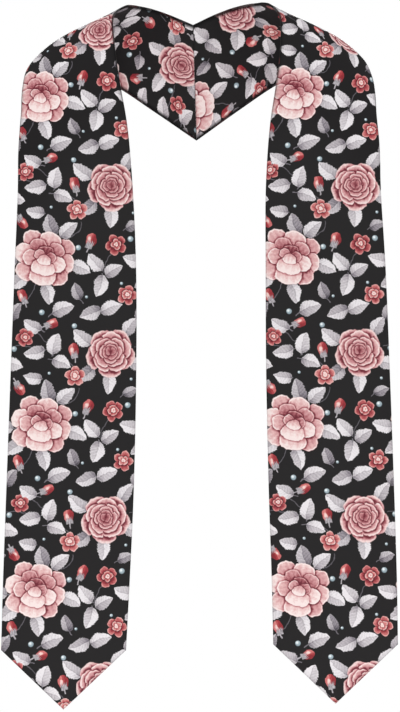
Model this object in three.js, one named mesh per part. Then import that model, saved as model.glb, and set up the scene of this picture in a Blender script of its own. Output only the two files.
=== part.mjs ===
// A graduation stole, worn: two tapered bands of printed satin that meet in a mitred seam at
// the back of the neck, pass over the shoulders and hang down the front to pointed ends.
// Each band is a face panel whose edge is turned over all round, with a lining panel set
// inside the turned edge. Millimetres, +Z up. The front faces -Y, and left and right are as
// seen from the front. The origin is the middle of the neck opening, level with the top of
// the shoulders.
import * as THREE from "three";

// The cut of one band
const neckWidth = 104;
const endWidth = 131;
const pointDrop = 61.5; // from the lower corners to the tip

// How the band is worn
const neckHalf = 88; // from the middle to the inner edge in front of the shoulder
const halfDepth = 66; // half of the body's depth, from the nape to the chest
const napeDrop = 21.5; // from the top of the shoulder down to the top of the seam
const frontDrop = 666; // from the top of the shoulder down to the lower corners

// The stole has slipped a little to the left
const seamTopShift = 6.5;
const seamFootShift = 3;
const endShift = 3; // how much lower the left end hangs and how much higher the right
const neckTilt = 2.2; // the same for the left and right sides of the neck

// The cloth
const faceThickness = 1;
const liningThickness = 1;
const clearance = 0.3; // between two pieces that touch
const turnedEdge = 1.6; // width of the face's edge where it is turned over

// How finely the surface is divided
const halfColumns = 4; // stretches from one turned edge to the middle of the band
const pointRows = 3; // from the last level row to the slanting end
const sectionSamples = 30; // for measuring the length from one section to the next

// Sections across one band, from the seam at the back to the lower corners in front.
// x, y, nape and fall place a section's inner end: x is a share of neckHalf, y of halfDepth
// with the back positive, nape of napeDrop and fall of frontDrop, both downwards. wide is its
// width, from 0 at neckWidth to 1 at endWidth. out, back and down lead from its inner to its
// outer end and crown is its bulge, as shares of that width. slid is a share of the seam's
// shifts to the left, negative to the right, and rise is a share of neckTilt. step is the
// distance in mm between the rows from here to the next section.
const sections = [
  { name: "seam", x: 0, y: 0.97, nape: 1, fall: 0, wide: 0,
    out: 0, back: 0.17, down: 1.16, crown: 0, slid: 1, rise: 0, step: 13 },
  { name: "nape", x: 0.26, y: 0.88, nape: 0.52, fall: 0, wide: 0,
    out: 0.21, back: 0.19, down: 0.96, crown: 0.01, slid: 0.8, rise: 0.5, step: 13 },
  { name: "back", x: 0.49, y: 0.68, nape: 0.18, fall: 0, wide: 0,
    out: 0.43, back: 0.2, down: 0.76, crown: 0.02, slid: 0.5, rise: 0.8, step: 11 },
  { name: "slope", x: 0.7, y: 0.38, nape: 0, fall: 0, wide: 0.02,
    out: 0.67, back: 0.19, down: 0.63, crown: 0.04, slid: 0.3, rise: 0.7, step: 8 },
  { name: "top", x: 0.84, y: 0.05, nape: 0, fall: 0, wide: 0.05,
    out: 0.89, back: 0, down: 0.53, crown: 0.055, slid: 0.35, rise: 0.5, step: 7 },
  { name: "brow", x: 0.975, y: -0.23, nape: 0, fall: 0.015, wide: 0.1,
    out: 0.86, back: 0.06, down: 0.53, crown: 0.045, slid: 0.45, rise: 0.2, step: 9 },
  { name: "collar", x: 0.985, y: -0.55, nape: 0, fall: 0.055, wide: 0.17,
    out: 0.885, back: 0.15, down: 0.44, crown: 0.035, slid: 0.3, rise: 0, step: 14 },
  { name: "collarbone", x: 0.93, y: -0.83, nape: 0, fall: 0.116, wide: 0.27,
    out: 0.925, back: 0.21, down: 0.33, crown: 0.025, slid: 0.2, rise: 0, step: 18 },
  { name: "chest", x: 0.84, y: -1, nape: 0, fall: 0.19, wide: 0.44,
    out: 0.98, back: 0.16, down: 0.2, crown: 0.02, slid: 0.1, rise: 0, step: 24 },
  { name: "breast", x: 0.783, y: -1.05, nape: 0, fall: 0.288, wide: 0.58,
    out: 0.997, back: 0.08, down: 0.02, crown: 0.015, slid: 0, rise: 0, step: 32 },
  { name: "rib", x: 0.762, y: -1.06, nape: 0, fall: 0.41, wide: 0.78,
    out: 1, back: 0.04, down: 0, crown: 0.01, slid: -0.25, rise: 0, step: 45 },
  { name: "waist", x: 0.764, y: -1.06, nape: 0, fall: 0.57, wide: 0.93,
    out: 1, back: 0.03, down: 0, crown: 0.01, slid: -0.3, rise: 0, step: 60 },
  { name: "hip", x: 0.794, y: -1.05, nape: 0, fall: 0.755, wide: 1,
    out: 1, back: 0.02, down: 0, crown: 0.01, slid: -0.3, rise: 0, step: 60 },
  { name: "hem", x: 0.837, y: -1.04, nape: 0, fall: 0.9, wide: 0.98,
    out: 1, back: 0.02, down: 0, crown: 0.01, slid: -0.2, rise: 0, step: 60 },
  { name: "corners", x: 0.866, y: -1.03, nape: 0, fall: 1, wide: 0.94,
    out: 1, back: 0.02, down: 0, crown: 0.01, slid: -0.05, rise: 0, step: 60 },
];

const bandThickness = faceThickness + clearance + liningThickness;
const lengthSamples = sectionSamples * (sections.length - 1);
const widthOf = (section) => neckWidth + (endWidth - neckWidth) * section.wide;
// Across the band the bulge grows from the inner edge and is fullest, 1, at two thirds
const bulgeAcross = (v) => (27 / 4) * v ** 2 * (1 - v);

// The outer surface of one band as a function of the length along its middle and the share v
// across it. side is 1 for the right band and -1 for the left, and x counts outwards.
class BandSurface {
  constructor(side) {
    this.side = side;
    const innerEnd = (s) => new THREE.Vector3(
      s.x * neckHalf - side * s.slid * seamTopShift,
      s.y * halfDepth,
      side * s.rise * neckTilt - s.nape * napeDrop - s.fall * (frontDrop - side * endShift),
    );
    const outerEnd = (s) => new THREE.Vector3(s.out, s.back, -s.down)
      .multiplyScalar(widthOf(s))
      .add(innerEnd(s))
      .add(new THREE.Vector3(side * s.slid * (seamTopShift - seamFootShift), 0, 0));
    const bulge = (s, i) => new THREE.Vector3(i, s.crown * widthOf(s), 0);
    this.inner = new THREE.CatmullRomCurve3(sections.map(innerEnd));
    this.outer = new THREE.CatmullRomCurve3(sections.map(outerEnd));
    this.crown = new THREE.CatmullRomCurve3(sections.map(bulge));
    this.lengths = [0];
    for (let i = 1; i <= lengthSamples; i++) {
      const before = this.middle((i - 1) / lengthSamples);
      const stretch = this.middle(i / lengthSamples).distanceTo(before);
      this.lengths.push(this.lengths[i - 1] + stretch);
    }
    this.cornerLength = this.lengths[lengthSamples];
  }

  middle(t) {
    return this.inner.getPoint(t).lerp(this.outer.getPoint(t), 0.5);
  }

  // The curves' parameter at a length along the middle
  parameter(length) {
    const i = Math.max(1, this.lengths.findIndex((each) => each >= length));
    const share = (length - this.lengths[i - 1]) / (this.lengths[i] - this.lengths[i - 1]);
    return (i - 1 + share) / lengthSamples;
  }

  width(length) {
    const t = this.parameter(Math.min(length, this.cornerLength));
    return this.inner.getPoint(t).distanceTo(this.outer.getPoint(t));
  }

  // Below its corners the band goes straight on down
  point(length, v) {
    const t = this.parameter(Math.min(length, this.cornerLength));
    const inner = this.inner.getPoint(t);
    const outer = this.outer.getPoint(t);
    const nearby = 1 / lengthSamples;
    const ahead = this.middle(Math.min(t + nearby, 1)).sub(this.middle(Math.max(t - nearby, 0)));
    const outward = ahead.cross(outer.clone().sub(inner)).normalize();
    const bulge = bulgeAcross(v) * this.crown.getPoint(t).y;
    const point = inner.lerp(outer, v).addScaledVector(outward, bulge);
    point.z -= Math.max(0, length - this.cornerLength);
    return point;
  }

  normal(length, v) {
    const reach = 0.5;
    const start = Math.max(length - reach, 0);
    const along = this.point(start + 2 * reach, v).sub(this.point(start, v));
    const nearby = 0.01;
    const across = this.point(length, v + nearby).sub(this.point(length, v - nearby));
    return along.cross(across).normalize();
  }

  // Length down to the slanting end
  fullLength(v) {
    return this.cornerLength + pointDrop * (1 - Math.abs(2 * v - 1));
  }

  // A point at a depth below the outer surface, in the object's frame. Those of the first
  // row lie in the plane of the seam.
  placed(length, v, depth) {
    const point = this.point(length, v).addScaledVector(this.normal(length, v), -depth);
    point.x *= this.side;
    if (length === 0) {
      const seam = THREE.MathUtils.lerp(seamTopShift, seamFootShift, v);
      point.x = this.side * clearance / 2 - seam;
    }
    return point;
  }
}

// Lengths of the level rows, from the seam to just above the corners
function levelRows(surface) {
  const lengthAt = (i) => surface.lengths[i * sectionSamples];
  const rows = [];
  for (let i = 0; i < sections.length - 1; i++) {
    const stretch = lengthAt(i + 1) - lengthAt(i);
    const count = Math.max(1, Math.round(stretch / sections[i].step));
    for (let k = 0; k < count; k++) {
      rows.push(lengthAt(i) + (stretch * k) / count);
    }
  }
  return rows;
}

// Rows as functions of v. The last one is the slanting end, moved in by the margin, and the
// ones before it turn step by step from level to slanting.
function rowsTo(surface, margins) {
  const level = levelRows(surface);
  const lastLevel = level[level.length - 1];
  const slant = Math.hypot(1, pointDrop / (endWidth / 2));
  const end = (margin) => (v) => surface.fullLength(v) - margin * slant;
  const rows = level.map((length) => () => length);
  for (let k = 1; k < pointRows; k++) {
    const share = k / pointRows;
    rows.push((v) => THREE.MathUtils.lerp(lastLevel, end(margins[0])(v), share));
  }
  margins.forEach((margin) => rows.push(end(margin)));
  return rows;
}

// Columns as shares of the width at a given length. The outermost ones keep the margins.
function columnsTo(surface, margins) {
  const inner = margins.map((margin) => (length) => margin / surface.width(length)).reverse();
  const outer = margins.map((margin) => (length) => 1 - margin / surface.width(length));
  const between = [];
  for (let k = 1; k < 2 * halfColumns; k++) {
    between.push(() => k / (2 * halfColumns));
  }
  return [...inner, ...between, ...outer];
}

// The closed skin of a lattice of cells. filled tells which cells belong to the solid.
function cellSolid(surface, margins, depths, filled) {
  const rows = rowsTo(surface, margins);
  const columns = columnsTo(surface, margins);
  const size = [rows.length - 1, columns.length - 1, depths.length - 1];
  const positions = [];
  const known = new Map();
  const corner = (at) => {
    const key = at.join();
    if (!known.has(key)) {
      const [row, column, layer] = at;
      const roughLength = rows[row](columns[column](surface.cornerLength));
      const v = columns[column](roughLength);
      known.set(key, positions.length / 3);
      positions.push(...surface.placed(rows[row](v), v, depths[layer]).toArray());
    }
    return known.get(key);
  };
  const inside = (cell) => cell.every((n, axis) => n >= 0 && n < size[axis]) && filled(cell, size);
  const indices = [];
  const addWall = (cell, axis, end) => {
    const [across, along] = [(axis + 1) % 3, (axis + 2) % 3];
    const quad = [[0, 0], [1, 0], [1, 1], [0, 1]].map(([p, q]) => {
      const at = [...cell];
      at[axis] += end;
      at[across] += p;
      at[along] += q;
      return corner(at);
    });
    const [a, b, c, d] = quad;
    const turned = (end === 1) !== (surface.side < 0);
    indices.push(...(turned ? [a, c, b, a, d, c] : [a, b, c, a, c, d]));
  };
  for (let row = 0; row < size[0]; row++) {
    for (let column = 0; column < size[1]; column++) {
      for (let layer = 0; layer < size[2]; layer++) {
        const cell = [row, column, layer];
        if (!inside(cell)) continue;
        for (let axis = 0; axis < 3; axis++) {
          for (const end of [0, 1]) {
            const next = [...cell];
            next[axis] += end ? 1 : -1;
            if (!inside(next)) addWall(cell, axis, end);
          }
        }
      }
    }
  }
  const geometry = new THREE.BufferGeometry();
  geometry.setAttribute("position", new THREE.Float32BufferAttribute(positions, 3));
  geometry.setIndex(indices);
  geometry.computeVertexNormals();
  return geometry;
}

// The face panel: one layer all over, and a second one below it where the edge is turned over
function facePanel(surface) {
  const turned = ([row, column, layer], size) =>
    layer === 0 || column === 0 || column === size[1] - 1 || row === size[0] - 1;
  return cellSolid(surface, [turnedEdge, 0], [0, faceThickness, bandThickness], turned);
}

// The lining panel: a plain layer inside the turned edge
function liningPanel(surface) {
  const depths = [bandThickness - liningThickness, bandThickness];
  return cellSolid(surface, [turnedEdge + clearance], depths, () => true);
}

function piece(name, geometry, color) {
  const material = new THREE.MeshStandardMaterial({ color, roughness: 0.5, metalness: 0 });
  const mesh = new THREE.Mesh(geometry, material);
  mesh.name = name;
  return mesh;
}

const stole = new THREE.Group();
stole.name = "graduation_stole";
for (const [word, side] of [["left", -1], ["right", 1]]) {
  const surface = new BandSurface(side);
  stole.add(piece(word + "_face", facePanel(surface), 0x2b292b));
  stole.add(piece(word + "_lining", liningPanel(surface), 0x3a3539));
}

export default stole;
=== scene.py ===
import math

import bpy
import numpy as np
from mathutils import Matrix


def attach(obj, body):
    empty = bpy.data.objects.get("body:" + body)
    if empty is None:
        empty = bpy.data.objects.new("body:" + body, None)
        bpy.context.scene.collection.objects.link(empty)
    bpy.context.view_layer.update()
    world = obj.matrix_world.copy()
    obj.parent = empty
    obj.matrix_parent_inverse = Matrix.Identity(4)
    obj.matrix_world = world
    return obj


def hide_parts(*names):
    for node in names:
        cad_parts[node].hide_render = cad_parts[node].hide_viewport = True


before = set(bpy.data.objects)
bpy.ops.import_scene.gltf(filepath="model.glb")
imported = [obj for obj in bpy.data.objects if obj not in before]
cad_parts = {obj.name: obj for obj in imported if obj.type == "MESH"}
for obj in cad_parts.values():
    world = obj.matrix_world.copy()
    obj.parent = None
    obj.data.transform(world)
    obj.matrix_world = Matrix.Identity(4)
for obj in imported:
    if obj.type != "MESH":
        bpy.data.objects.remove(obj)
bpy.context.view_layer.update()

# Face panels
# Each band's outer layer is one panel of printed polyester satin, cut tapering from the neck to
# the lower corners and pointed at the end. Its edge is turned over all round to the inner
# side, and it meets the other band's panel in a mitred seam at the back of the neck.
neck_width = 104.0
end_width = 131.0
point_drop = 61.5
neck_half = 88.0
half_depth = 66.0
nape_drop = 21.5
front_drop = 666.0
seam_top_shift = 6.5
seam_foot_shift = 3.0
end_shift = 3.0
neck_tilt = 2.2
face_thickness = 1.0
lining_thickness = 1.0
clearance = 0.3
turned_edge = 1.6
band_thickness = face_thickness + clearance + lining_thickness
middle_points = 1201
look_ahead = 0.002

# Sections from the seam to the lower corners, as shares of the sizes above. x, y, nape and fall
# place the inner end; out, back, down and crown are shares of the width there.
columns = ("x", "y", "nape", "fall", "wide", "out", "back", "down", "crown", "slid", "rise")
sections = [
    (0, 0.97, 1, 0, 0, 0, 0.17, 1.16, 0, 1, 0),
    (0.26, 0.88, 0.52, 0, 0, 0.21, 0.19, 0.96, 0.01, 0.8, 0.5),
    (0.49, 0.68, 0.18, 0, 0, 0.43, 0.2, 0.76, 0.02, 0.5, 0.8),
    (0.7, 0.38, 0, 0, 0.02, 0.67, 0.19, 0.63, 0.04, 0.3, 0.7),
    (0.84, 0.05, 0, 0, 0.05, 0.89, 0, 0.53, 0.055, 0.35, 0.5),
    (0.975, -0.23, 0, 0.015, 0.1, 0.86, 0.06, 0.53, 0.045, 0.45, 0.2),
    (0.985, -0.55, 0, 0.055, 0.17, 0.885, 0.15, 0.44, 0.035, 0.3, 0),
    (0.93, -0.83, 0, 0.116, 0.27, 0.925, 0.21, 0.33, 0.025, 0.2, 0),
    (0.84, -1, 0, 0.19, 0.44, 0.98, 0.16, 0.2, 0.02, 0.1, 0),
    (0.783, -1.05, 0, 0.288, 0.58, 0.997, 0.08, 0.02, 0.015, 0, 0),
    (0.762, -1.06, 0, 0.41, 0.78, 1, 0.04, 0, 0.01, -0.25, 0),
    (0.764, -1.06, 0, 0.57, 0.93, 1, 0.03, 0, 0.01, -0.3, 0),
    (0.794, -1.05, 0, 0.755, 1, 1, 0.02, 0, 0.01, -0.3, 0),
    (0.837, -1.04, 0, 0.9, 0.98, 1, 0.02, 0, 0.01, -0.2, 0),
    (0.866, -1.03, 0, 1, 0.94, 1, 0.02, 0, 0.01, -0.05, 0),
]
section_table = {name: np.array([row[i] for row in sections], float) for i, name in enumerate(columns)}


def smooth_curve(points, t):
    """Points of a centripetal Catmull-Rom curve through points, at shares t of its whole."""
    before = 2 * points[0] - points[1]
    after = 2 * points[-1] - points[-2]
    knots = np.vstack([before, points, after])
    place = np.clip(t, 0, 1) * (len(points) - 1)
    i = np.minimum(place.astype(int), len(points) - 2)
    f = (place - i)[:, None]
    a, b, c, d = (knots[i + k] for k in range(4))
    spans = (b - a, c - b, d - c)
    gap = [np.maximum(np.linalg.norm(span, axis=1), 1e-6)[:, None] ** 0.5 for span in spans]
    leave = ((b - a) / gap[0] - (c - a) / (gap[0] + gap[1]) + (c - b) / gap[1]) * gap[1]
    arrive = ((c - b) / gap[1] - (d - b) / (gap[1] + gap[2]) + (d - c) / gap[2]) * gap[1]
    cubic = 2 * b - 2 * c + leave + arrive
    square = -3 * b + 3 * c - 2 * leave - arrive
    return b + f * (leave + f * (square + f * cubic))


class Band:
    """The outer surface of one band in mm, with x counted outwards. side is 1 on the right. A
    length runs from the seam along the middle, and v is the share across from the inner edge."""

    def __init__(self, side):
        s = section_table
        self.side = side
        wide = neck_width + (end_width - neck_width) * s["wide"]
        self.inner = np.stack([
            s["x"] * neck_half - side * s["slid"] * seam_top_shift,
            s["y"] * half_depth,
            side * s["rise"] * neck_tilt - s["nape"] * nape_drop
            - s["fall"] * (front_drop - side * end_shift),
        ], axis=1)
        self.outer = self.inner + np.stack([
            s["out"] * wide + side * s["slid"] * (seam_top_shift - seam_foot_shift),
            s["back"] * wide,
            -s["down"] * wide,
        ], axis=1)
        self.crown = np.stack([np.arange(len(wide)), s["crown"] * wide, 0 * wide], axis=1)
        self.shares = np.linspace(0, 1, middle_points)
        middle = self.middle(self.shares)
        steps = np.linalg.norm(np.diff(middle, axis=0), axis=1)
        self.lengths = np.concatenate([[0], np.cumsum(steps)])
        self.corner = self.lengths[-1]

    def middle(self, t):
        return (smooth_curve(self.inner, t) + smooth_curve(self.outer, t)) / 2

    def share(self, length):
        return np.interp(np.clip(length, 0, self.corner), self.lengths, self.shares)

    def width(self, length):
        t = self.share(length)
        return np.linalg.norm(smooth_curve(self.outer, t) - smooth_curve(self.inner, t), axis=1)

    def point(self, length, v):
        """A place on the surface. The band's crown is highest two thirds of the way across."""
        t = self.share(length)
        inner = smooth_curve(self.inner, t)
        outer = smooth_curve(self.outer, t)
        ahead = self.middle(t + look_ahead) - self.middle(t - look_ahead)
        outward = np.cross(ahead, outer - inner)
        outward /= np.linalg.norm(outward, axis=1)[:, None]
        bulge = 27 / 4 * v**2 * (1 - v) * smooth_curve(self.crown, t)[:, 1]
        point = inner + (outer - inner) * v[:, None] + outward * bulge[:, None]
        point[:, 2] -= np.maximum(0, length - self.corner)
        return point

    def normal(self, length, v):
        """The way out of the cloth, from places 1 mm apart along it and others across it."""
        start = np.maximum(length - 0.5, 0)
        along = self.point(start + 1, v) - self.point(start, v)
        across = self.point(length, v + 0.01) - self.point(length, v - 0.01)
        normal = np.cross(along, across)
        return normal / np.linalg.norm(normal, axis=1)[:, None]

    def full_length(self, v):
        return self.corner + point_drop * (1 - np.abs(2 * v - 1))


# Across the panel and down to its point the rows and columns crowd together where the edge
# turns over. At the seam they crowd where the two panels pull at the thread.
edge_steps = (0, 0.12, 0.4, 0.8, turned_edge)
seam_rows = (0, 0.35, 0.9, 1.8)
nape_end = 30.0
nape_step = 1.8
shoulder_start = 60.0
shoulder_end = 320.0
shoulder_step = 3.0
plain_step = 4.5
foot_length = 45.0
foot_rows = 14
inner_columns = 33
slant = math.hypot(1, point_drop / (end_width / 2))


def row_lengths(band):
    lengths = list(seam_rows)
    while lengths[-1] < band.corner - foot_length:
        if lengths[-1] < nape_end:
            step = nape_step
        elif shoulder_start < lengths[-1] < shoulder_end:
            step = shoulder_step
        else:
            step = plain_step
        lengths.append(lengths[-1] + step)
    return lengths


def grid(band, steps):
    """Lengths, shares across and distances from the edge on the panel's rows and columns."""
    level = row_lengths(band)
    rows = []
    for length in level:
        rows.append(lambda v, length=length: np.full_like(v, length))
    for k in range(1, foot_rows):
        rows.append(lambda v, k=k: level[-1] + (
            band.full_length(v) - steps[-1] * slant - level[-1]) * k / foot_rows)
    for step in reversed(steps):
        rows.append(lambda v, step=step: band.full_length(v) - step * slant)
    length_grid, share_grid, edge_grid = [], [], []
    for row in rows:
        rough = row(np.array([0.0, 0.5]))[0]
        width = band.width(np.array([rough]))[0]
        near = np.array(steps) / width
        between = np.linspace(near[-1], 1 - near[-1], inner_columns)[1:-1]
        v = np.concatenate([near, between, 1 - near[::-1]])
        length = row(v)
        to_end = (band.full_length(v) - length) / slant
        edge = np.minimum(np.minimum(v, 1 - v) * width, np.maximum(to_end, 0))
        length_grid.append(length)
        share_grid.append(v)
        edge_grid.append(edge)
    return np.array(length_grid), np.array(share_grid), np.array(edge_grid)


def flat_places(band, length, v):
    """Where each point lies on the cloth before it is sewn: across from the middle, and up
    from the lower corners, measured along the cloth."""
    shape = length.shape
    points = band.point(length.ravel(), v.ravel()).reshape(*shape, 3)
    steps = np.linalg.norm(np.diff(points, axis=0), axis=2)
    run = np.concatenate([np.zeros((1, shape[1])), np.cumsum(steps, axis=0)])
    below = length[-1] - band.corner
    up = run[-1] - run - below
    width = band.width(length.ravel()).reshape(shape)
    return (v - 0.5) * width, up


seam_pucker = 0.35
edge_pucker = 0.12
hang_wave = 0.9
hang_start = 330.0
hang_full = 530.0


def pucker(band, length, v):
    """Small waves where the seams pull at the cloth, and a slow wave in the hanging part."""
    width = band.width(length.ravel()).reshape(length.shape)
    place = v * width
    seam = seam_pucker * np.exp(-length / 9) * np.sin(place / 2.7 + 1.3 * np.sin(place / 19))
    phase = 1.7 * band.side
    edge = np.exp(-place / 7) * np.sin(length / 5.3 + phase + np.sin(length / 23))
    edge += np.exp(-(width - place) / 7) * np.sin(length / 5.9 - phase + np.sin(length / 17))
    hang = np.clip((length - hang_start) / (hang_full - hang_start), 0, 1) * hang_wave
    slow = hang * np.sin(length / 61 + phase + 2.1 * v) * np.sin(math.pi * v + 0.4)
    return seam + edge_pucker * edge + slow


def shell_faces(size, filled, mirrored):
    """The corners and outer faces of the filled cells of a grid. size counts the cells along,
    across and through the panel. The faces of a mirrored panel run the other way round."""
    numbers = {}
    faces = []

    def inside(cell):
        return all(0 <= n < m for n, m in zip(cell, size)) and filled(cell, size)

    def quad(cell, axis, end):
        around = []
        for p, q in ((0, 0), (1, 0), (1, 1), (0, 1)):
            at = list(cell)
            at[axis] += end
            at[(axis + 1) % 3] += p
            at[(axis + 2) % 3] += q
            around.append(numbers.setdefault(tuple(at), len(numbers)))
        return around if (end == 1) == mirrored else around[::-1]

    for cell in np.ndindex(*size):
        if not inside(cell):
            continue
        for axis in range(3):
            for end in (0, 1):
                beyond = list(cell)
                beyond[axis] += 2 * end - 1
                if not inside(beyond):
                    faces.append(quad(cell, axis, end))
    return np.array(list(numbers)), faces


seam_gap = 0.03
seam_groove = 0.28
seam_reach = 0.6
# Painted shade along the edges near the neck fades between these two lengths down the band, losing this share
# of its strength.
shade_fade_from = 230.0
shade_fade_to = 320.0
shade_fade_share = 0.75
map_size = 1200.0
map_start = (0.3, 0.1)
crease_angle = 50.0


def panel_mesh(name, band, layers, edge_shades, steps, filled, print_shift, print_side):
    """A closed shell between layers below the band's surface. filled says which cells of its
    grid belong to it. Its UV map holds the place on the flat cloth, map_size in mm to the
    whole map, and an attribute of its own how much painted shade darkens the print there."""
    length, v, edge = grid(band, steps)
    rows, cols = length.shape
    wave = pucker(band, length, v)
    base = band.point(length.ravel(), v.ravel())
    normal = band.normal(length.ravel(), v.ravel())
    across, up = flat_places(band, length, v)
    # The seam sinks into a groove, and painted shade darkens the print along it.
    groove_and_shade = np.exp(-length / seam_reach)
    shade_fading = np.clip((length - shade_fade_from) / (shade_fade_to - shade_fade_from), 0, 1)
    shade_weight = 1 - shade_fade_share * shade_fading
    seam = seam_top_shift + (seam_foot_shift - seam_top_shift) * v[0]
    last = len(layers) - 1
    points, shade_layers = [], []
    for place, (layer, fold) in enumerate(zip(layers, edge_shades)):
        sunk = seam_groove * groove_and_shade * ((place == 0) - (place == last))
        depth = (layer(edge) + sunk - wave).ravel()
        # Painted shade on this layer: its edge shade, weaker down the band, and dark along the seam.
        shade_layers.append(np.maximum(fold(edge) * shade_weight, groove_and_shade))
        sheet = base - normal * depth[:, None]
        sheet[:, 0] *= band.side
        sheet = sheet.reshape(rows, cols, 3)
        sheet[0, :, 0] = band.side * seam_gap / 2 - seam
        points.append(sheet)
    corners, faces = shell_faces((rows - 1, cols - 1, last), filled, band.side < 0)
    i, j, k = corners.T
    mesh = bpy.data.meshes.new(name)
    mesh.from_pydata((np.stack(points)[k, i, j] / 1000).tolist(), [], faces)
    flat = np.stack([across * print_side + print_shift[0], up + print_shift[1]], axis=-1)[i, j]
    flat_map = mesh.uv_layers.new(name="flat cloth")
    loops = np.zeros(len(mesh.loops), int)
    mesh.loops.foreach_get("vertex_index", loops)
    flat_map.data.foreach_set("uv", (flat[loops] / map_size + map_start).ravel())
    # Painted shade from 0 to 1, which the material lays over the print.
    shade_attribute = mesh.attributes.new("fold", "FLOAT", "POINT")
    shade_attribute.data.foreach_set("value", np.stack(shade_layers)[k, i, j])
    mesh.validate()
    panel = bpy.data.objects.new(name, mesh)
    bpy.context.collection.objects.link(panel)
    bpy.ops.object.select_all(action="DESELECT")
    panel.select_set(True)
    bpy.context.view_layer.objects.active = panel
    bpy.ops.object.shade_smooth_by_angle(angle=math.radians(crease_angle))
    return panel


roll_reach = 1.1
roll_drop = 0.8
edge_shade_reach = 2.0


def rolled(depth_inside, depth_edge):
    """The depth of a layer that bends at the panel's edge from depth_edge to depth_inside."""

    def depth(edge):
        bend = 1 - np.clip(edge / roll_reach, 0, 1)
        return depth_inside + (depth_edge - depth_inside) * (1 - np.sqrt(1 - bend**2))

    return depth


def turned_under(edge):
    """The depth of the cloth's inner side, which meets itself halfway down at the edge."""
    bend = 1 - np.clip(edge / turned_edge, 0, 1)
    return face_thickness + (band_thickness / 2 - face_thickness) * bend


def painted_edge_shade(edge):
    """Painted shade along the turned edge: 1 on the edge and 0 from edge_shade_reach inwards."""
    share = np.clip(2 * (1 - edge / edge_shade_reach), 0, 1)
    return share * share * (3 - 2 * share)


# Painted shade on the face's layers: along the edge of its outer side, and all over the turned-under layers
# inside.
face_edge_shades = [painted_edge_shade, np.ones_like, np.ones_like]
face_layers = [rolled(0, roll_drop), turned_under, rolled(band_thickness, band_thickness - roll_drop)]


def turned_over(cell, size):
    """The face fills the outer layer everywhere, and the inner one along its turned edge."""
    rim = len(edge_steps) - 1
    return cell[2] == 0 or cell[1] < rim or cell[1] >= size[1] - rim or cell[0] >= size[0] - rim


# Print on the satin
# A repeat of flowers and leaves on near black, drawn in mm on the flat cloth and printed on
# both layers. Each kind of motif is drawn once and set down in several places.
repeat_width = 132.0
repeat_height = 172.0
tone_scale = 10.0


class Ink:
    """A socket among the print's nodes that is added, multiplied and compared like a number."""

    def __init__(self, tree, socket):
        self.tree = tree
        self.socket = socket

    def node(self, kind, settings, sockets, out=0):
        made = self.tree.nodes.new(kind)
        for name, value in settings.items():
            if name == "stops":
                ramp = made.color_ramp
                while len(ramp.elements) < len(value):
                    ramp.elements.new(0.5)
                for element, (place, colour) in zip(ramp.elements, value):
                    element.position = place
                    element.color = colour
            else:
                setattr(made, name, value)
        for key, value in sockets.items():
            if isinstance(value, Ink):
                self.tree.links.new(value.socket, made.inputs[key])
            else:
                made.inputs[key].default_value = value
        return Ink(self.tree, made.outputs[out])

    def math(self, operation, *others):
        return self.node("ShaderNodeMath", {"operation": operation}, dict(enumerate((self, *others))))

    def __add__(self, other):
        return self.math("ADD", other)

    def __sub__(self, other):
        return self.math("SUBTRACT", other)

    def __rsub__(self, other):
        return self.node("ShaderNodeMath", {"operation": "SUBTRACT"}, {0: other, 1: self})

    def __mul__(self, other):
        return self.math("MULTIPLY", other)

    def __truediv__(self, other):
        return self.math("DIVIDE", other)

    def __pow__(self, other):
        return self.math("POWER", other)

    def __abs__(self):
        return self.math("ABSOLUTE")

    def __lt__(self, other):
        return self.math("LESS_THAN", other)

    __radd__ = __add__
    __rmul__ = __mul__


def vector(operation, *values, out=0):
    return values[0].node("ShaderNodeVectorMath", {"operation": operation}, dict(enumerate(values)), out)


def parts(value):
    separate = value.node("ShaderNodeSeparateXYZ", {}, {0: value})
    return [Ink(value.tree, output) for output in separate.socket.node.outputs]


def stepped(value, low, high):
    """0 at low, 1 at high and smooth between them."""
    return value.node("ShaderNodeMapRange", {"interpolation_type": "SMOOTHSTEP"}, {0: value, 1: low, 2: high})


def blend(share, low, high):
    return share.node("ShaderNodeMix", {"data_type": "FLOAT"}, {0: share, 2: low, 3: high})


def printed(under, over, share):
    return share.node("ShaderNodeMix", {"data_type": "RGBA"}, {0: share, 6: under, 7: over}, 2)


def shade(red, green, blue):
    """A colour from its values on a screen, 0 to 255."""
    return (*[((value / 255 + 0.055) / 1.055) ** 2.4 for value in (red, green, blue)], 1)


def inked(value, ink):
    """The colour at a value between the stops of an ink."""
    return value.node("ShaderNodeValToRGB", {"stops": ink}, {0: value})


def framed(spot, middle, turn, half_long, half_wide):
    """Coordinates that run from -1 to 1 along and across an oval."""
    return spot.node(
        "ShaderNodeMapping", {"vector_type": "TEXTURE"},
        {0: spot, 1: middle, 2: (0, 0, math.radians(turn)), 3: (half_long, half_wide, 1)})


def set_down(spot, x, y, half_long, half_wide, turn, tone):
    """Own coordinates of a motif at x, y on the repeat, from -1 to 1 along and across it. Its
    size is in mm and its turn in degrees. The third coordinate is its tone."""
    high = (x + repeat_width / 2, y + repeat_height / 2, 1)
    low = (x - repeat_width / 2, y - repeat_height / 2, -1)
    window = vector("WRAP", spot, high, low)
    return framed(window, (x, y, -tone / tone_scale), turn, half_long, half_wide)


def nearest(spot, places):
    """Own coordinates of the copy that lies nearest."""
    best = set_down(spot, *places[0])
    best_length = vector("LENGTH", best, out=1)
    for place in places[1:]:
        own = set_down(spot, *place)
        length = vector("LENGTH", own, out=1)
        closer = length < best_length
        best = spot.node("ShaderNodeMix", {"data_type": "VECTOR"}, {0: closer, 4: best, 5: own}, 1)
        best_length = length.math("MINIMUM", best_length)
    along, across, tone = parts(best)
    return best, along, across, tone * tone_scale


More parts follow.
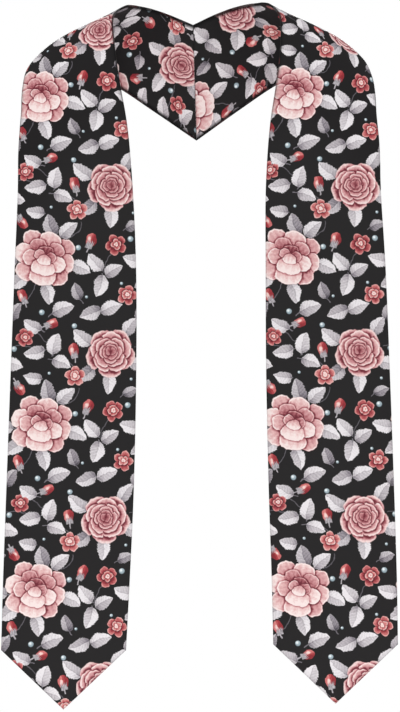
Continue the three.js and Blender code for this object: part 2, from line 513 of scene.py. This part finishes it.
def motif(name, draw, under, spot, grain, *tables):
    """One kind of motif in a node group of its own, printed over the colour below it."""
    group = bpy.data.node_groups.new(name, "ShaderNodeTree")
    wanted = (("Under", "NodeSocketColor"), ("Spot", "NodeSocketVector"), ("Grain", "NodeSocketFloat"))
    for socket_name, kind in wanted:
        group.interface.new_socket(socket_name, in_out="INPUT", socket_type=kind)
    group.interface.new_socket("Colour", in_out="OUTPUT", socket_type="NodeSocketColor")
    given = group.nodes.new("NodeGroupInput").outputs
    colour = draw(Ink(group, given[0]), Ink(group, given[1]), Ink(group, given[2]), *tables)
    group.links.new(colour.socket, group.nodes.new("NodeGroupOutput").inputs[0])
    return spot.node("ShaderNodeGroup", {"node_tree": group}, {0: under, 1: spot, 2: grain})


# Stems. Where they start, where they end, and how far they bow between
stem_places = [
    (22, 46, 33, 70, 3), (94, 134, 54, 142, -5), (84, 38, 64, 12, 4), (18, 8, 46, 22, -4),
    (116, 128, 126, 114, 3), (118, 84, 130, 100, -4), (70, 160, 96, 146, 4),
]
stem_ink = shade(96, 92, 98)


def draw_stems(under, spot, grain):
    colour = under
    for x1, y1, x2, y2, bow in stem_places:
        half = math.dist((x1, y1), (x2, y2)) / 2
        turn = math.degrees(math.atan2(y2 - y1, x2 - x1))
        along, across, _ = parts(set_down(spot, (x1 + x2) / 2, (y1 + y2) / 2, half, 1, turn, 0))
        away = abs(across - bow * (1 - along * along))
        line = stepped(away, 0.65, 0.3) * stepped(abs(along), 1, 0.96)
        colour = printed(colour, stem_ink, line)
    return colour


# Leaves. Middle x and y, half length and width, turn, and tone from dark 0 to pale 1
leaf_places = [
    (64, 38, 12.3, 8.5, 215, 0.7), (52, 60, 11.3, 8, 165, 0.95), (117, 92, 11.3, 8, 40, 0.8),
    (98, 97, 11.8, 8.5, 105, 0.2), (130, 52, 11.3, 8, -25, 0.9), (96, 25, 11.3, 8, -75, 0.85),
    (61, 124, 11.3, 8, -10, 1.0), (50, 164, 11.3, 7.5, 55, 0.7), (0, 152, 12.3, 8.5, 140, 0.85),
    (5, 114, 10.8, 8, 215, 0.25), (29, 104, 10.8, 7.5, 270, 0.9), (12, 58, 11.3, 8, 130, 1.0),
    (32, 50, 10.3, 7.5, 30, 0.7), (18, 33, 11.3, 8.5, 255, 0.95), (83, 136, 11.3, 8, 190, 0.8),
    (104, 146, 11.3, 8.5, 75, 1.0), (112, 126, 10.3, 7.5, -20, 0.85), (30, 11, 11.3, 8, 20, 0.9),
    (8, 5, 11.3, 8, 200, 0.6), (62, 7, 10.3, 7, 60, 0.15), (80, 164, 10.3, 7.5, 150, 0.85),
    (112, 10, 11.8, 8.5, 20, 0.75), (126, 28, 9.3, 6.5, 110, 0.1), (82, 110, 9.8, 7, 170, 0.8),
    (52, 96, 8.3, 6, 20, 0.2),
]
leaf_ink = [
    (0.04, shade(80, 75, 83)), (0.28, shade(134, 127, 135)),
    (0.56, shade(188, 181, 186)), (0.92, shade(240, 235, 238)),
]


def draw_leaves(under, spot, grain):
    """Bent leaves with a toothed edge, a midrib, ribs and a stalk. One half is paler."""
    _, along, across, tone = nearest(spot, leaf_places)
    bent = across + 0.16 * along * along - 0.06
    aside = abs(bent)
    share = along.node("ShaderNodeClamp", {}, {0: along * 0.5 + 0.5})
    width = 2.35 * share ** 0.5 * (1 - share) ** 0.8
    tooth = (share * 9 + aside * 1.2).math("FRACT")
    to_edge = width * (1 - 0.14 * tooth) - aside
    rib = (share * 7 - aside * 1.6).math("FRACT")
    value = tone * 0.42 + 0.20 + 0.16 * share + 0.3 * (grain - 0.5)
    value = value + 0.24 * stepped(bent, -0.12, 0.12) + 0.16 * (rib - 0.5)
    value = value + 0.16 * stepped(to_edge, 0.16, 0.04)
    value = value - 0.22 * stepped(aside, 0.08, 0.02) - 0.22 * stepped(share, 0.35, 0.0)
    colour = inked(value, leaf_ink)
    stalk = stepped(aside, 0.09, 0.04) * stepped(along, -1.5, -1.45) * stepped(along, -0.85, -0.95)
    return printed(printed(under, shade(120, 115, 122), stalk), colour, stepped(to_edge, 0, 0.07))


# The open flower. Its petals from the hindmost forward: middle x and y, half length and width,
# turn of the outer end, and tone
flower_places = [(92, 62, 30.5, 27.5, -12, 0)]
flower_petals = [
    (-0.42, 0.50, 0.50, 0.36, 128, 0.52), (0.52, 0.44, 0.48, 0.36, 42, 0.44),
    (0.06, 0.58, 0.44, 0.40, 88, 0.66), (-0.60, 0.04, 0.44, 0.40, 178, 0.84),
    (0.62, -0.04, 0.42, 0.42, -6, 0.60), (0.50, -0.48, 0.46, 0.36, 312, 0.46),
    (-0.44, -0.50, 0.48, 0.40, 232, 0.66), (0.06, -0.58, 0.44, 0.50, 275, 0.78),
    (-0.24, 0.34, 0.36, 0.30, 112, 0.30), (0.30, 0.32, 0.34, 0.30, 55, 0.36),
    (0.40, -0.12, 0.36, 0.32, -15, 0.84), (-0.36, -0.06, 0.38, 0.32, 188, 0.56),
    (0.02, -0.30, 0.34, 0.44, 268, 0.92), (0.00, 0.20, 0.26, 0.28, 90, 0.04),
    (-0.14, 0.07, 0.23, 0.20, 155, 0.44), (0.17, 0.06, 0.22, 0.20, 25, 0.30),
    (0.01, -0.05, 0.19, 0.25, 268, 0.90),
]
rose_ink = [
    (0.0, shade(112, 42, 54)), (0.20, shade(168, 94, 101)), (0.42, shade(207, 146, 149)),
    (0.68, shade(232, 186, 185)), (0.98, shade(253, 234, 231)),
]


def draw_petals(under, spot, grain, places, petals, ink):
    """Petals one over another. Each is dark at its root, pale at its lip and casts a shadow."""
    own, _, _, _ = nearest(spot, places)
    value, mask = None, None
    for x, y, half_long, half_wide, turn, tone in petals:
        along, aside, _ = parts(framed(own, (x, y, 0), turn, half_long, half_wide))
        spread = aside * (1.12 - 0.3 * along)
        away = (along * along + spread * spread) ** 0.5
        cover = stepped(away, 1.02, 0.97)
        lip = stepped(away, 0.84, 0.94) * stepped(along, -0.3, 0.5)
        petal = tone - 0.12 + 0.36 * along + 0.28 * lip
        petal = petal + 0.06 * (aside * 12).math("SINE") + 0.5 * (grain - 0.5)
        if value is None:
            value, mask = petal, cover
        else:
            value = blend(cover, value - 0.50 * stepped(away, 1.24, 0.98), petal)
            mask = mask.math("MAXIMUM", cover)
    return printed(under, inked(value, ink), mask)


# Rosettes and small blossoms. Rings of petals from the outermost in: reach, petals, turn, how
# deep they are parted, middle x and y, tone
rosette_places = [(30, 136, 25.5, 25.5, 20, 0)]
rosette_rings = [
    (1.00, 5, 0.10, 0.22, 0.00, 0.00, 0.60), (0.83, 5, 0.62, 0.18, 0.02, 0.02, 0.66),
    (0.63, 4, 0.30, 0.18, -0.02, 0.03, 0.60), (0.46, 4, 0.80, 0.20, 0.02, 0.04, 0.56),
    (0.32, 3, 0.15, 0.24, 0.00, 0.05, 0.42), (0.19, 2, 0.70, 0.28, 0.02, 0.06, 0.34),
]
blossom_places = [
    (34, 76, 11, 11, 10, 0.4), (126, 112, 10.5, 10.5, 60, 0.8),
    (46, 24, 10.5, 10.5, 40, 0.6), (73, 152, 9.5, 9.5, 0, 0.4),
]
blossom_rings = [
    (1.00, 5, 0.10, 0.42, 0.00, 0.00, 0.28), (0.50, 4, 0.55, 0.30, 0.04, 0.04, 0.48),
    (0.22, 3, 0.10, 0.30, 0.04, 0.05, 0.95),
]
blossom_ink = [
    (0.0, shade(96, 30, 40)), (0.25, shade(156, 58, 66)), (0.5, shade(204, 112, 112)),
    (0.75, shade(231, 168, 164)), (0.98, shade(250, 220, 215)),
]


def draw_rings(under, spot, grain, places, rings, ink):
    """Rings of petals, each over the one outside it and casting a shadow on it."""
    own, _, _, own_tone = nearest(spot, places)
    value, mask = None, None
    inner_reach = [ring[0] for ring in rings[1:]] + [0]
    for (reach, petals, turn, parted, x, y, tone), inner in zip(rings, inner_reach):
        right, up, _ = parts(vector("SUBTRACT", own, (x, y, 0)))
        petal = (up.math("ARCTAN2", right) * (petals / math.tau) + turn).math("FRACT")
        lip = reach * (1 - parted + parted * (petal * math.pi).math("SINE") ** 0.5 + 0.12 * (petal - 0.5))
        away = (right * right + up * up) ** 0.5 / lip
        cover = stepped(away, 1.02, 0.985)
        ring = tone + own_tone * 0.4 - 0.36 + 0.40 * stepped(away, inner / reach - 0.05, 0.95)
        ring = ring + 0.20 * stepped(away, 0.88, 0.96)
        ring = ring - 0.30 * stepped(petal, 0.30, 0.0) + 0.5 * (grain - 0.5)
        if value is None:
            value, mask = ring, cover
        else:
            value = blend(cover, value - 0.40 * stepped(away, 1.22, 1.0), ring)
            mask = mask.math("MAXIMUM", cover)
    return printed(under, inked(value, ink), mask)


# Buds. Middle x and y, half length and width, turn, and tone from deep red 0 to salmon 1
bud_places = [
    (8, 80, 8.5, 5.5, 70, 0.5), (70, 22, 8, 5.2, 110, 0.7), (124, 138, 8, 5.4, 100, 0.6),
    (68, 100, 8, 5.2, -60, 0.3), (100, 166, 7.5, 5, 20, 0.5),
]
bud_ink = [
    (0.0, shade(112, 30, 40)), (0.35, shade(172, 60, 66)),
    (0.65, shade(220, 128, 126)), (0.95, shade(248, 214, 208)),
]
sepal_ink = [(0.2, shade(112, 106, 114)), (0.9, shade(214, 208, 212))]


def draw_buds(under, spot, grain):
    """Shut buds, two outer petals round a darker heart, in pointed sepals on a stalk."""
    own, along, across, tone = nearest(spot, bud_places)
    share = along.node("ShaderNodeClamp", {}, {0: along * 0.5 + 0.5})
    aside = abs(across)
    width = 2.05 * (share - 0.06).math("MAXIMUM", 0) ** 0.55 * (1 - share) ** 0.42
    left_petal = stepped(across + 0.55 * (share - 0.95) ** 2, 0.07, 0.15)
    right_petal = stepped(0.8 * (share - 0.8) ** 2 - across, 0.25, 0.33)
    shine = stepped(vector("DISTANCE", own, (0.15, 0.35, 0.05), out=1), 0.5, 0.05)
    value = 0.08 + tone * 0.25 + 0.22 * left_petal - 0.15 * right_petal
    value = value + 0.5 * shine + 0.2 * share + 0.3 * (grain - 0.5)
    bud = inked(value, bud_ink)
    finger = (across * 3.2 + 0.5).math("PINGPONG", 0.5)
    sepals = stepped(0.30 + 0.5 * finger - share, -0.03, 0.04)
    sepals = sepals * stepped(aside, 0.67, 0.57) * stepped(share, 0, 0.05)
    stalk = stepped(aside, 0.15, 0.09) * stepped(along, -1.55, -1.45) * stepped(along, -0.75, -0.9)
    green = inked(grain * 0.8 + 0.6 * finger, sepal_ink)
    return printed(printed(under, bud, stepped(width - aside, 0, 0.08)), green, sepals.math("MAXIMUM", stalk))


# Berries. Middle x and y, radius twice, turn, tone
berry_places = [
    (49, 82, 3.1, 3.1, 0, 0), (52, 109, 1.6, 1.6, 0, 0), (127, 73, 2.9, 2.9, 0, 0), (62, 140, 3, 3, 0, 0),
    (40, 36, 1.7, 1.7, 0, 0), (124, 164, 2.8, 2.8, 0, 0), (99, 115, 1.6, 1.6, 0, 0), (90, 6, 3, 3, 0, 0),
    (4, 22, 1.6, 1.6, 0, 0),
]
berry_ink = [(0.1, shade(94, 108, 118)), (0.5, shade(168, 186, 194)), (0.95, shade(240, 246, 248))]


def draw_berries(under, spot, grain):
    """Round berries with a light spot at the upper left and a shaded lower rim."""
    own, _, up, _ = nearest(spot, berry_places)
    away = vector("LENGTH", own, out=1)
    lit = stepped(vector("DISTANCE", own, (-0.25, 0.3, 0), out=1), 0.75, 0.05)
    value = 0.45 + 0.6 * lit - 0.3 * stepped(away, 0.55, 1) * stepped(up, 0.4, -0.4)
    return printed(under, inked(value, berry_ink), stepped(away, 1.05, 0.85))


ground_ink = shade(31, 29, 30)
# Painted shade: a near black laid over the print along turned edges, on hidden layers and at the seam, and
# how strongly.
painted_shade_ink = shade(14, 13, 14)
painted_shade_strength = 0.92
waver_size = 3.0
waver_look = {"Scale": 0.16, "Detail": 2.0}
grain_look = {"Scale": 0.45, "Detail": 3.0, "Roughness": 0.6}


def print_colour(spot):
    """The printed colour at a spot on the flat cloth, in mm. One noise makes the outlines
    waver as if drawn by hand, and a finer one is the grain of the inks."""
    flat = {"noise_dimensions": "2D"}
    waver = spot.node("ShaderNodeTexNoise", flat, {"Vector": spot, **waver_look}, "Color")
    aside = vector("SUBTRACT", waver, (0.5, 0.5, 0.5))
    drawn = vector("MULTIPLY_ADD", aside, (waver_size, waver_size, 0), spot)
    grain = spot.node("ShaderNodeTexNoise", flat, {"Vector": spot, **grain_look})
    colour = motif("stems", draw_stems, ground_ink, drawn, grain)
    colour = motif("leaves", draw_leaves, colour, drawn, grain)
    colour = motif("open flower", draw_petals, colour, drawn, grain, flower_places, flower_petals, rose_ink)
    colour = motif("rosette", draw_rings, colour, drawn, grain, rosette_places, rosette_rings, rose_ink)
    colour = motif("blossoms", draw_rings, colour, drawn, grain, blossom_places, blossom_rings, blossom_ink)
    colour = motif("buds", draw_buds, colour, drawn, grain)
    return motif("berries", draw_berries, colour, spot, grain)


weave_look = {"Scale": 1.0, "Distortion": 1.5, "Detail": 1.0, "Detail Scale": 2.0}
weave_bump = {"Strength": 0.12, "Distance": 0.0002}
satin_roughness = 0.55
thread_roughness = 0.06
satin_shine = {"Specular IOR Level": 0.12, "Sheen Weight": 0.03, "Sheen Roughness": 0.4}

satin = bpy.data.materials.new("printed satin")
satin.use_nodes = True
tree = satin.node_tree
surface = tree.nodes["Principled BSDF"]
cloth_map = Ink(tree, tree.nodes.new("ShaderNodeUVMap").outputs["UV"])
cloth_map.socket.node.uv_map = "flat cloth"
cloth = vector("MULTIPLY", vector("SUBTRACT", cloth_map, (*map_start, 0)), (map_size, map_size, 0))
# Painted shade: the print darkens towards near black where the panel's own attribute asks.
painted_shade_share = cloth.node("ShaderNodeAttribute", {"attribute_name": "fold"}, {}, "Fac")
colour = printed(print_colour(cloth), painted_shade_ink, painted_shade_share * painted_shade_strength)
tree.links.new(colour.socket, surface.inputs["Base Color"])
threads = cloth.node("ShaderNodeTexWave", {"bands_direction": "DIAGONAL"}, {"Vector": cloth, **weave_look})
weave = threads.node("ShaderNodeBump", {}, {**weave_bump, "Height": threads})
tree.links.new(weave.socket, surface.inputs["Normal"])
tree.links.new((threads * thread_roughness + satin_roughness).socket, surface.inputs["Roughness"])
for key, amount in satin_shine.items():
    surface.inputs[key].default_value = amount

# Where each face lies on the printed cloth when it is cut, in mm
face_shifts = {-1: (-8, 0), 1: (-3, 5)}
bands = {side: Band(side) for side in (-1, 1)}
for side, word in ((-1, "left"), (1, "right")):
    panel = panel_mesh(
        word + "_face_panel", bands[side], face_layers, face_edge_shades, edge_steps,
        turned_over, face_shifts[side], side)
    panel.data.materials.append(satin)
    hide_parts(word + "_face")
    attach(panel, "root")


# Lining panels
# Each band's inner layer is a panel of the same printed satin, a little smaller, laid inside
# the face's turned edge and caught to it all round. It shows inside the back of the neck.
lining_edge = turned_edge + clearance
lining_top = band_thickness - lining_thickness
lining_roll_reach = 0.5
lining_roll_drop = 0.35
lining_steps = tuple(lining_edge + step for step in (0, 0.15, lining_roll_reach))


def lining_surface(edge):
    """The depth of the side that shows, which rounds off at the lining's edge."""
    roll = 1 - np.clip((edge - lining_edge) / lining_roll_reach, 0, 1)
    return band_thickness - lining_roll_drop * (1 - np.sqrt(1 - roll**2))


lining_layers = [lambda edge: np.full_like(edge, lining_top), lining_surface]
# Painted shade on the lining: all over its hidden inner side, and along the edge of the side that shows.
lining_edge_shades = [np.ones_like, lambda edge: painted_edge_shade(edge - lining_edge)]
lining_shifts = {-1: (40, 20), 1: (-15, 75)}
for side, word in ((-1, "left"), (1, "right")):
    panel = panel_mesh(
        word + "_lining_panel", bands[side], lining_layers, lining_edge_shades, lining_steps,
        lambda cell, size: True, lining_shifts[side], -side)
    panel.data.materials.append(satin)
    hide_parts(word + "_lining")
    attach(panel, "root")


# Studio
# A plain pale floor below the stole, soft light from all round, and a camera straight in front.
# An even glow and five wide lamps light the stole, and the camera sees a white room behind it.
floor_radius = 1.6
floor_level = -0.86
paper_look = {"Base Color": (0.9, 0.9, 0.9, 1), "Roughness": 0.9}
room_light = 0.17
lamp_angle = 20.0

# Each lamp's name, turn from the front, height in degrees, and strength
lamps = [
    ("front", 0, 6, 0.58), ("right", 90, 25, 0.26), ("back", 180, 6, 0.58),
    ("left", 270, 25, 0.26), ("top", 0, 90, 0.28),
]

bpy.ops.object.select_all(action="DESELECT")
bpy.ops.mesh.primitive_circle_add(
    vertices=96, radius=floor_radius, fill_type="NGON", location=(0, 0, floor_level))
floor = bpy.context.object
floor.name = "floor"
paper = bpy.data.materials.new("pale paper")
paper.use_nodes = True
for key, amount in paper_look.items():
    paper.node_tree.nodes["Principled BSDF"].inputs[key].default_value = amount
floor.data.materials.append(paper)

world = bpy.data.worlds.new("soft light")
world.use_nodes = True
room = Ink(world.node_tree, world.node_tree.nodes["Background"].outputs[0])
room.socket.node.inputs["Color"].default_value = (1, 1, 1, 1)
room.socket.node.inputs["Strength"].default_value = room_light
seen = room.node("ShaderNodeLightPath", {}, {}, "Is Camera Ray")
white = room.node("ShaderNodeBackground", {}, {"Color": (1, 1, 1, 1), "Strength": 1.0})
both = seen.node("ShaderNodeMixShader", {}, {0: seen, 1: room, 2: white})
world.node_tree.links.new(both.socket, world.node_tree.nodes["World Output"].inputs["Surface"])
for word, turn, rise, strength in lamps:
    lamp_data = bpy.data.lights.new(word + " lamp", "SUN")
    lamp_data.energy = strength * math.pi
    lamp_data.angle = math.radians(lamp_angle)
    lamp = bpy.data.objects.new(word + " lamp", lamp_data)
    lamp.rotation_euler = (math.radians(90 - rise), 0, math.radians(turn))
    bpy.context.collection.objects.link(lamp)
bpy.context.scene.world = world
bpy.context.scene.view_settings.view_transform = "Standard"

picture_rows = 712
row_size = 1.035
frame_height = picture_rows * row_size / 1000
picture_middle = (0.0007, -0.07, -0.3643)
camera_height = -0.03
distance = 19.0
drop = camera_height - picture_middle[2]

camera_data = bpy.data.cameras.new("camera")
camera = bpy.data.objects.new("camera", camera_data)
bpy.context.collection.objects.link(camera)
camera_data.lens = camera_data.sensor_width * math.hypot(distance, drop) / frame_height
camera.location = (picture_middle[0], picture_middle[1] - distance, camera_height)
camera.rotation_euler = (math.radians(90) - math.atan2(drop, distance), 0, 0)
bpy.context.scene.camera = camera
